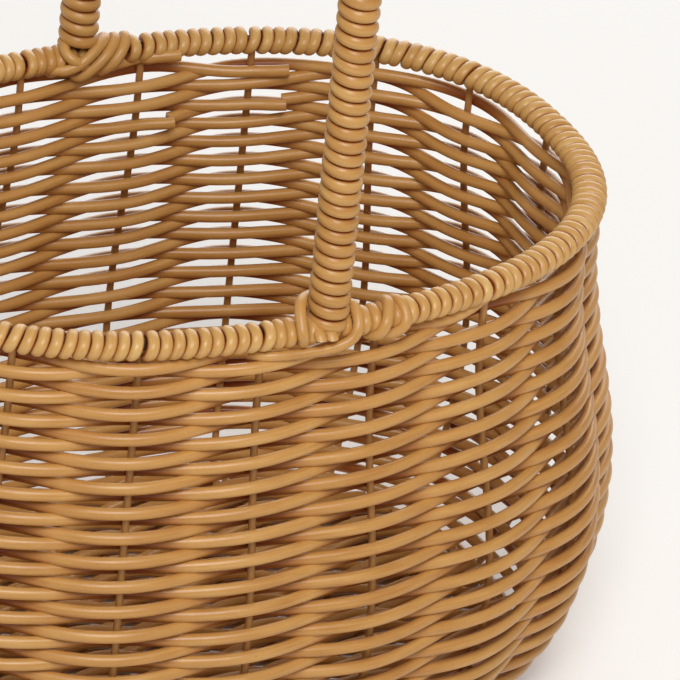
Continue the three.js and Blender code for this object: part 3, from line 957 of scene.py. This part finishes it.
@dataclass
class SideWeave:
    """Plain weave of two weavers, each made of several lengths with their ends tucked inside.

    The weavers follow each other round, one stake apart and half a pitch apart down the slope, so that one
    passes outside the stakes that the other passes inside. The sway shifts the rows at some stakes, by one
    distance for each of three turns of the weave. Each join says which weaver, 1 for the lower, is cut at
    which stake gap.
    """

    wall: Wall
    uprights: Uprights
    thickness: float = 4.8
    swing: float = 3.75
    lift: float = 0.35
    pitch: float = 9.65
    first_level: float = 8.0
    highest_level: float = 7.0
    crowding: float = 0.8
    last_level_above_foot: float = 5.4
    extra_gaps: int = 12
    first_stake: int = 4
    first_length: int = 76
    gaps_per_length: int = 72
    joins: tuple[tuple[int, int], ...] = ((1, 36), (0, 54))
    top_strand: tuple[int, int] = (-12, -8)
    tail: float = 0.3
    tail_inset: float = 2.4
    end_overlap: float = 0.03
    first_drop: float = 3.8
    tuck_place: float = 11.15
    tuck_reach: float = 0.62
    tuck_rise: float = 5.0
    tuck_flattening: float = 0.8
    tail_ease: float = 0.05
    unevenness: float = 0.2
    rise_unevenness: float = 0.25
    level_wave: float = 2.6
    radial_wave: float = 1.3
    rise_wave: float = 1.7
    level_seed: int = 5
    first_seed: int = 11
    seed_step: int = 10
    rise_seed_step: int = 100
    grain_step: float = 5000.0
    steps_per_gap: int = 18
    sides: int = 16
    sway: dict[float, tuple[float, float, float]] = field(
        default_factory=lambda: {
            0: (-4.2, -7.6, -6.5),
            1: (-3.8, -6.5, -5.6),
            2: (-7.8, -8.4, -5.0),
            3: (-4.6, -7.8, -7.0),
            4: (-2.2, -5.2, -4.2),
            6: (-0.6, -3.0, -2.0),
            9: (0.0, -1.0, -0.5),
            12: (0.2, 1.0, 0.3),
            13: (-2.2, -1.2, -1.6),
            14: (-4.5, -3.4, -3.0),
            15: (-7.8, -6.2, -5.0),
        }
    )
    sway_turns: tuple[float, float, float] = (0.5, 4.5, 8.5)

    def level(self, gaps: np.ndarray, lower: bool) -> np.ndarray:
        """Gives how far down the slope a weaver lies.

        Args:
            gaps: Places round the basket, counted in stake gaps from where the weave starts.
            lower: Whether it is the lower of the two weavers.

        Returns:
            The lengths down the slope.
        """
        count = self.uprights.count
        turn = gaps / count
        high, middle, low = (
            round_trip({n: sways[i] for n, sways in self.sway.items()}, count, gaps + self.first_stake)
            for i in range(3)
        )
        first, second, third = self.sway_turns
        sway = high + (middle - high) * smooth((turn - first) / (second - first))
        sway += (low - middle) * smooth((turn - second) / (third - second))
        settle = np.clip((self.woven_gaps() - gaps) / count / 2, 0, 1)
        level = self.first_level + self.pitch * (turn + lower / 2) + sway * settle
        level += self.unevenness * wander(gaps / self.level_wave, self.level_seed)
        level = np.minimum(level, self.wall.slope_length() - self.last_level_above_foot)
        below = (level - self.highest_level) / self.crowding
        return self.highest_level + self.crowding * np.logaddexp(0, below)

    def woven_gaps(self) -> int:
        """Gives how many stake gaps the weave fills, from the rim to the foot."""
        last = self.wall.slope_length() - self.last_level_above_foot
        turns = (last - self.first_level) / self.pitch - 0.5
        return 2 * math.floor(turns * self.uprights.count / 2)

    def strand(self, lower: bool, first: float, last: float, seed: int) -> Path:
        """Lays one strand of a weaver.

        Args:
            lower: Whether it belongs to the lower weaver, which starts a stake before the other.
            first: Stake gap at which the strand begins, with a tail laid inside before that stake.
            last: Stake gap before which it ends.
            seed: Which small unevenness it has.

        Returns:
            The strand's path.
        """
        count = round((last - first) * self.steps_per_gap)
        place = np.linspace(first - self.tail, last - self.tail + self.end_overlap, count)
        gaps = place - 1 if lower else place
        level = self.level(gaps, lower)
        radial = self.unevenness * wander(place / self.radial_wave, seed)
        radial -= self.swing * np.cos(math.pi * place)
        if lower:
            level = level + self.first_drop * (1 - smooth(np.abs(place)))
        else:
            tuck = 1 - smooth(np.abs(place - self.tuck_place) / self.tuck_reach)
            tuck += 1 - smooth(place + self.tail)
            level = level - self.tuck_rise * tuck
            radial = radial * (1 - self.tuck_flattening * tuck)
        wall = self.wall.at(self.uprights.share(self.first_stake + gaps), level)
        rise = self.rise_unevenness * wander(place / self.rise_wave, seed + self.rise_seed_step)
        rise -= self.lift * np.sin(math.pi * place)
        tail = np.clip((first + self.tail_ease - place) / (self.tail + self.tail_ease), 0, 1)
        radial = np.where(place < first, -self.swing - self.tail_inset * smooth(tail), radial)
        points = wall.point + wall.out * radial[:, None] - wall.down * rise[:, None]
        # The side of the wall sets where the painted shade falls on the weaver.
        return Path(points, {"out": wall.out}, {"side_of_wall": radial / self.swing})

    def build(self) -> None:
        """Builds every length of both weavers."""
        total = self.woven_gaps()
        ends = [0, *range(self.first_length, total - self.gaps_per_length // 2, self.gaps_per_length), total]
        for letter, lower, finish in (("a", True, CANE), ("b", False, CANE_LIGHT)):
            for number, (first, last) in enumerate(zip(ends, ends[1:])):
                if last == total and not lower:
                    last += self.extra_gaps
                joins = [at for weaver, at in self.joins if weaver == lower and first < at < last]
                spans = list(zip([first, *joins], [*joins, last]))
                if lower and number == 0:
                    spans.append(self.top_strand)
                seed = self.first_seed + self.seed_step * number + lower
                paths = [self.strand(lower, a, b, seed + i) for i, (a, b) in enumerate(spans)]
                grain = self.grain_step * (number + lower / 2)
                section = Section(self.thickness, self.thickness, self.sides, grain)
                name = f"weaver_{letter}_{number + 1:02d}"
                make_piece("cane_" + name, name, finish, paths, section)


@dataclass(frozen=True)
class Bound:
    """What a closely wound strand is like: its reach from the wire's middle, its pitch, and its unevenness.

    Its lengths are in millimetres. The lean is how far each turn slants.
    """

    reach_sideways: float
    reach_upwards: float
    pitch: float
    unevenness: float
    start: float
    lean: float = 0.0
    steps_per_turn: int = 32

    def winding(self, length: float, seed: int) -> dict[str, Any]:
        """Gives what the winding's tree takes, for a path of some length."""
        return {
            "Turns": float(round(length / self.pitch)),
            "Steps per Turn": self.steps_per_turn,
            "Radius": self.reach_sideways * MM,
            "Rise": self.reach_upwards * MM,
            "Start": self.start,
            "Lean": self.lean * MM,
            "Unevenness": self.unevenness * MM,
            "Seed": seed,
        }


@dataclass
class RimBinding:
    """The strand wound closely round the rim wire, in two runs between the handle's feet."""

    wall: Wall
    uprights: Uprights
    bound: Bound = Bound(4.8, 3.2, pitch=4.85, unevenness=0.7, start=0.5, lean=0.7)
    width: float = 4.8
    thickness: float = 3.9
    foot_clearances: tuple[tuple[float, float], ...] = ((31.4, 21.8), (18.4, 21.6))
    stake_opening: float = 1.5
    opening_edge: float = 1.5
    opening_reach: float = 8.0
    step: float = 2.0
    sides: int = 14
    grain_step: float = 9000.0
    first_seed: int = 3

    def core(self, first: float, last: float) -> Path:
        """Gives the rim's centreline between two shares, with each stake's push on the wraps beside it."""
        oval = self.wall.oval
        length = oval.length()
        share = np.linspace(first, last, round((last - first) * length / self.step))
        angle = oval.angle_along(share)
        plan, normal = oval.point(angle, 0), oval.normal(angle, 0)
        zero = np.zeros(len(share))
        push = np.zeros(len(share))
        for number in range(-self.uprights.count, 2 * self.uprights.count):
            away = (share - float(self.uprights.share(np.array([float(number)]))[0])) * length
            fading = np.exp(-np.abs(away) / self.opening_reach)
            push += np.tanh(away / self.opening_edge) * fading * self.stake_opening / 2
        directions = {
            "side": np.stack([normal[:, 0], normal[:, 1], zero], axis=-1),
            "top": np.tile(UP, (len(share), 1)),
            "onwards": np.stack([-normal[:, 1], normal[:, 0], zero], axis=-1),
        }
        points = np.stack([plan[:, 0], plan[:, 1], zero + self.wall.rim_height], axis=-1)
        # A crowd of 1 gives the flanks of the close turns painted shade.
        return Path(points, directions, {"push": push * MM, "crowd": zero + 1})

    def build(self) -> None:
        """Builds both runs."""
        length = self.wall.oval.length()
        for number, (name, first, last) in enumerate((("right", -0.25, 0.25), ("left", 0.25, 0.75))):
            before, after = self.foot_clearances[number]
            run = (last - first) * length - before - after
            winding = self.bound.winding(run, self.first_seed + number)
            core = self.core(first + before / length, last - after / length)
            section = Section(self.width, self.thickness, self.sides, self.grain_step * number)
            make_piece(f"rim_wraps_{name}", f"rim_binding_{name}", RIM_CANE, [core], section, winding)


@dataclass
class Handle:
    """The arch handle: straight legs, a flat arch, and a strand wound closely round all of it."""

    wall: Wall
    leg_length: float = 140
    top_rise: float = 85
    arch_power: float = 0.92
    first_wrap: float = -1.0
    last_wrap: float = 4.7
    leg_steps: int = 60
    arch_steps: int = 400
    bound: Bound = Bound(5.75, 5.75, pitch=5.3, unevenness=0.45, start=0.25)
    section: Section = Section(5.15, 4.15, sides=14, grain=40.0)
    seed: int = 9

    def core(self) -> Path:
        """Gives the handle's centreline from the front foot over the top to the back foot."""
        half = self.wall.oval.half_width
        rim = self.wall.rim_height
        spring = rim + self.leg_length
        leg = np.linspace(rim + self.first_wrap, spring, self.leg_steps)[:-1]
        back_leg = np.linspace(spring, rim + self.last_wrap, self.leg_steps)[1:]
        turn = np.linspace(0, math.pi, self.arch_steps)
        across = -half * np.sign(np.cos(turn)) * np.abs(np.cos(turn)) ** self.arch_power
        rise = spring + self.top_rise * np.sin(turn) ** self.arch_power
        y = np.concatenate([np.full(len(leg), -half), across, np.full(len(leg), half)])
        points = np.stack([np.zeros(len(y)), y, np.concatenate([leg, rise, back_leg])], axis=-1)
        onwards = unit(np.gradient(points, axis=0))
        side = np.tile(ALONG_X, (len(y), 1))
        directions = {"side": side, "top": unit(np.cross(side, onwards)), "onwards": onwards}
        # A crowd of 1 gives the flanks of the close turns painted shade.
        return Path(points, directions, {"push": np.zeros(len(y)), "crowd": np.ones(len(y))})

    def build(self) -> None:
        """Builds the wound strand."""
        core = self.core()
        length = float(np.linalg.norm(np.diff(core.points, axis=0), axis=1).sum())
        winding = self.bound.winding(length, self.seed)
        make_piece("handle_wraps", "handle_binding", HANDLE_CANE, [core], self.section, winding)


@dataclass
class FootLashing:
    """The strands that tie one handle foot to the rim: free routes, and loops of plain wraps."""

    wall: Wall
    name: str
    share: float
    routes: Sequence[Sequence[Sequence[float]]]
    loops: Sequence[tuple[float, float]]
    loop_radius: float = 4.8
    loop_rise: float = 3.2
    steps_per_loop: int = 28
    section: Section = Section(4.4, 4.0, sides=14, grain=70.0)
    step: float = 1.0

    @property
    def heading(self) -> int:
        """Which way round the rim +X lies from the foot."""
        return 1 if self.share > 0.5 else -1

    def place(self, local: np.ndarray) -> np.ndarray:
        """Turns distances towards +X, outwards and upwards from the foot into places in the basket."""
        oval = self.wall.oval
        angle = oval.angle_along(self.share + self.heading * local[:, 0] / oval.length())
        plan, normal = oval.point(angle, 0), oval.normal(angle, 0)
        return np.column_stack([plan + normal * local[:, 1:2], self.wall.rim_height + local[:, 2]])

    def path(self, local: np.ndarray) -> Path:
        """Makes one strand's path, its thickness lying away from the rim wire."""
        axis = local.copy()
        axis[:, 1:] = 0
        points = self.place(local)
        return Path(points, {"out": unit(points - self.place(axis))})

    def loop(self, first: float, last: float) -> np.ndarray:
        """Lays plain wraps round the rim wire from one distance to another, about a strand's width apart."""
        turns = max(1, round(abs(last - first) / self.section.width))
        turn = np.linspace(0, turns, turns * self.steps_per_loop)
        angle = math.pi - 2 * math.pi * turn
        along = np.linspace(first, last, len(turn))[:: self.heading]
        return np.column_stack([along, self.loop_radius * np.sin(angle), self.loop_rise * np.cos(angle)])

    def build(self) -> None:
        """Builds the strands of this foot as one piece."""
        strands = [self.path(through(route, self.step)) for route in self.routes]
        strands += [self.path(self.loop(first, last)) for first, last in self.loops]
        names = f"lashing_strands_{self.name}", f"foot_lashing_{self.name}"
        make_piece(*names, HANDLE_CANE, strands, self.section)


# The routes' points are in millimetres towards +X, outwards and upwards from the foot. Each loop says from
# where to where it runs along X.
FRONT_ROUTES = (
    (
        (10, -6, 0), (10.5, -1, 6.6), (9.6, 6.3, 2.5), (6.4, 7.8, -2.4), (-1, 7.2, -5.2), (-12, 5.4, -6.4),
        (-24, 3.4, -6.8), (-30, -1, -7.5),
    ),
    (
        (-3, -9, 9), (-8.4, -5, 10), (-11.6, 0, 9), (-12.8, 5.8, 3.4), (-12.4, 6.6, 0.6), (-11.4, 4.4, -2.6),
        (-10.4, -1.5, -4),
    ),
    (
        (16.4, -2, -5), (16.8, 3, -5.2), (18.2, 7.4, -2.4), (20.8, 7.2, 2.2), (24.2, 1.4, 5.6),
        (25.6, -4, 4), (26, -7, 0),
    ),
    (
        (22, -2, -5.4), (23.6, 3.8, -5.6), (27.2, 7, -2.6), (29.4, 6.6, 1.2), (29.6, 1, 5), (29.2, -5, 3),
        (29, -7, -1),
    ),
    ((-6.4, 2, 2.4), (-6.3, 6, 1.8), (-6.2, 8.4, 0.2)),
    ((-1.8, 2, 2), (-1.7, 6, 1.4), (-1.6, 8.4, -0.2)),
)  # fmt: skip
BACK_ROUTES = (
    (
        (-12, -2, -4.5), (-11.2, -6, -2.2), (-8.3, -7.6, -1.5), (-3.8, -8.6, 0.2), (1.1, -8.3, 3.2),
        (6, -6, 5.8), (11, -1, 6.4), (12.2, 4, 4.2), (12.4, 6.6, 0),
    ),
    (
        (-2, -3, -7.2), (-0.6, -6.6, -5.8), (4, -8.2, -1.6), (9.7, -7.2, 3), (15, -2, 5.8), (16.2, 3, 4.4),
        (16.8, 6.4, 0),
    ),
    (
        (9, -4, -6), (10.6, -6.4, -3.6), (13.6, -7.4, 0), (17.2, -5.4, 3.8), (19.8, -1, 5.7), (20.8, 3.4, 4),
        (21, 6, 0),
    ),
    (
        (-5.7, 1.5, 6.6), (-6.4, -1.6, 6.4), (-7.4, -4.7, 5.2), (-5.6, -7.8, 3), (-2.4, -8.3, 0.9),
        (1, -6.4, -2),
    ),
)  # fmt: skip
FRONT_LOOPS = ((-21.6, -13.0), (-9.0, 9.0), (12.5, 30.0))
BACK_LOOPS = ((-18.4, -6.0), (-5.0, 8.0))


@dataclass
class FootRing:
    """The coated wire ring that the basket stands on."""

    wall: Wall
    radius: float = 2.95
    sides: int = 16
    count: int = 240

    def build(self) -> None:
        """Builds the ring."""
        oval = self.wall.oval
        angle = oval.angle_along(np.arange(self.count) / self.count)
        plan = oval.point(angle, self.wall.foot_growth)
        points = np.column_stack([plan, np.full(self.count, self.radius)])
        section = Section.of_wire(self.radius, self.sides)
        make_piece("foot_ring", "foot_wire", CANE, [level_path(points, closed=True)], section)


@dataclass
class Base:
    """Wires laid across the foot ring, and one strand woven to and fro over and under them."""

    wall: Wall
    wire_radius: float = 1.45
    wire_spacing: float = 36
    wire_height: float = 7.4
    wire_sides: int = 10
    wire_points: int = 30
    wire_grain_step: float = 260.0
    strand: float = 4.5
    strand_sides: int = 12
    strand_pitch: float = 4.7
    strand_step: float = 2.5
    strand_grip: float = 0.1
    edge_margin: float = 5.4
    wire_margin: float = 3.9
    turn_back: float = 1.6

    def wires(self) -> list[float]:
        """Gives where the wires cross, along X."""
        half = self.wall.oval.half_length + self.wall.foot_growth
        per_side = math.floor((half - self.edge_margin) / self.wire_spacing)
        return [i * self.wire_spacing for i in range(-per_side, per_side + 1)]

    def build_wires(self) -> None:
        """Builds the cross wires."""
        count = self.wire_points
        for number, x in enumerate(self.wires()):
            reach = self.wall.oval.half_extent(x, self.wall.foot_growth, across_x=False)
            y = np.linspace(-reach, reach, count)
            points = np.column_stack([np.full(count, x), y, np.full(count, self.wire_height)])
            section = Section.of_wire(self.wire_radius, self.wire_sides, self.wire_grain_step * number)
            names = f"cross_wire_{number + 1:02d}", f"base_wire_{number + 1:02d}"
            make_piece(*names, COATED_WIRE, [level_path(points)], section)

    @property
    def room(self) -> float:
        """How far along Y the strand's outermost pass lies from the middle."""
        return self.wall.oval.half_width + self.wall.foot_growth - self.edge_margin

    @property
    def passes(self) -> int:
        """How many passes of the strand lie on each side of the middle one."""
        return round(self.room / self.strand_pitch)

    @property
    def pitch(self) -> float:
        """The pitch that spreads the passes evenly from edge to edge."""
        return self.room / self.passes

    def pass_reach(self, number: float) -> float:
        """Gives how far along X a pass of the strand may run."""
        edge = self.wall.oval.half_extent(number * self.pitch, self.wall.foot_growth, across_x=True)
        edge -= self.edge_margin
        margin = self.wire_margin
        return min([edge, *[x - margin for x in self.wires() if edge - margin < x < edge + margin]])

    def build_strand(self) -> None:
        """Builds the strand, which turns back at the end of each pass."""
        lift = self.wire_radius + self.strand / 2 - self.strand_grip
        rows = []
        for number in range(-self.passes, self.passes + 1):
            heading = 1 if (number + self.passes) % 2 == 0 else -1
            end = heading * (self.pass_reach(number) - self.turn_back)
            x = np.linspace(-end, end, round(2 * abs(end) / self.strand_step))
            rise = lift * heading * np.cos(math.pi * (x - self.wires()[0]) / self.wire_spacing)
            rows.append(np.column_stack([x, np.full(len(x), number * self.pitch), self.wire_height + rise]))
            if number < self.passes:
                turn = heading * self.pass_reach(number + 0.5)
                rows.append(np.array([[turn, (number + 0.5) * self.pitch, self.wire_height + rise[-1] / 2]]))
        path = level_path(through(np.vstack(rows), self.strand_step))
        section = Section(self.strand, self.strand, self.strand_sides)
        make_piece("base_weave", "base_strand", CANE, [path], section)


# Studio


@dataclass(frozen=True)
class Lamp:
    """One soft square lamp, aimed at the basket's middle.

    Its azimuth is in degrees from -Y towards +X, its elevation in degrees, its distance and side in metres,
    and its power in watts.
    """

    name: str
    azimuth: float
    elevation: float
    distance: float
    side: float
    power: float
    aim: tuple[float, float, float] = (0, 0, 0.12)

    def build(self) -> None:
        """Places the lamp."""
        a, e = math.radians(self.azimuth), math.radians(self.elevation)
        away = Vector((math.sin(a) * math.cos(e), -math.cos(a) * math.cos(e), math.sin(e)))
        data = bpy.data.lights.new(self.name, "AREA")
        data.size = self.side
        data.energy = self.power
        lamp = add_object(self.name, data)
        lamp.location = Vector(self.aim) + away * self.distance
        lamp.rotation_mode = "QUATERNION"
        lamp.rotation_quaternion = away.to_track_quat("Z", "Y")


@dataclass
class Studio:
    """Plain pale floor, soft light, and a camera at the photograph's angle.

    The camera's place, lens and shifts are in millimetres and its angles in degrees. The floor's half side
    and the nearest and farthest distances that the camera sees are in metres.
    """

    wall: Wall
    azimuth: float = 29.6
    elevation: float = 30.0
    roll: float = 5.9
    distance: float = 2600
    lens: float = 367.5
    shift_right: float = -53.3
    shift_up: float = -57.4
    lamps: tuple[Lamp, ...] = (
        Lamp("key_light", azimuth=-18, elevation=52, distance=1.8, side=0.8, power=19),
        Lamp("fill_light", azimuth=146, elevation=20, distance=2.2, side=1.8, power=24),
    )
    sky: float = 0.36
    sky_colour: tuple[float, float, float] = (1.0, 0.96, 0.90)
    half_floor: float = 6.0
    nearest: float = 0.1
    farthest: float = 20.0

    def axes(self) -> tuple[np.ndarray, np.ndarray, np.ndarray]:
        """Gives the directions to the picture's right, to its top, and into it."""
        a, e, r = (math.radians(v) for v in (self.azimuth, self.elevation, self.roll))
        into = np.array([math.sin(a) * math.cos(e), math.cos(a) * math.cos(e), -math.sin(e)])
        right = np.array([math.cos(a), -math.sin(a), 0.0])
        up = np.array([math.sin(a) * math.sin(e), math.cos(a) * math.sin(e), math.cos(e)])
        return right * math.cos(r) + up * math.sin(r), up * math.cos(r) - right * math.sin(r), into

    def build_camera(self) -> None:
        """Places the camera and makes it the scene's."""
        right, up, into = self.axes()
        rim = np.array([0.0, 0.0, self.wall.rim_height])
        place = rim - self.shift_right * right + self.shift_up * up - self.distance * into
        data = bpy.data.cameras.new("camera")
        data.lens = self.lens
        data.clip_start = self.nearest
        data.clip_end = self.farthest
        camera = add_object("camera", data)
        rows = [[right[i], up[i], -into[i], place[i] * MM] for i in range(3)]
        camera.matrix_world = Matrix([*rows, [0.0, 0.0, 0.0, 1.0]])
        bpy.context.scene.camera = camera

    def build_floor(self) -> None:
        """Lays the floor."""
        mesh = bpy.data.meshes.new("floor")
        half = self.half_floor
        corners = [(-half, -half, 0), (half, -half, 0), (half, half, 0), (-half, half, 0)]
        mesh.from_pydata(corners, [], [(0, 1, 2, 3)])
        mesh.materials.append(FLOOR.material())
        add_object("floor", mesh)

    def build_sky(self) -> None:
        """Fills the room with even, slightly warm light."""
        world = bpy.data.worlds.new("room")
        world.use_nodes = True
        world.node_tree.nodes.clear()
        tree = TreeBuilder(world.node_tree)
        even = {"Color": (*self.sky_colour, 1.0), "Strength": self.sky}
        light = tree.node("ShaderNodeBackground", {}, even)
        tree.node("ShaderNodeOutputWorld", {}, {0: light.outputs[0]})
        bpy.context.scene.world = world

    def build(self) -> None:
        """Builds the whole studio."""
        self.build_camera()
        self.build_floor()
        self.build_sky()
        for lamp in self.lamps:
            lamp.build()
        bpy.context.scene.view_settings.view_transform = "Standard"


def dress_steel() -> None:
    """Gives the wires held inside the bindings their steel finish."""
    for name in ("rim_wire", "handle_core"):
        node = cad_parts[name]
        node.data.materials.clear()
        node.data.materials.append(STEEL.material())
        LOG.info("%s: %s", name, STEEL.name)


def main() -> None:
    """Builds the studio and the basket in order."""
    logging.basicConfig(level=logging.INFO, format="%(message)s")
    wall = Wall()
    uprights = Uprights(wall)
    Studio(wall).build()
    uprights.build()
    SideWeave(wall, uprights).build()
    RimBinding(wall, uprights).build()
    Handle(wall).build()
    FootLashing(wall, "front", 0.75, FRONT_ROUTES, FRONT_LOOPS).build()
    FootLashing(wall, "back", 0.25, BACK_ROUTES, BACK_LOOPS).build()
    FootRing(wall).build()
    base = Base(wall)
    base.build_wires()
    base.build_strand()
    dress_steel()


if __name__ == "__main__":
    main()
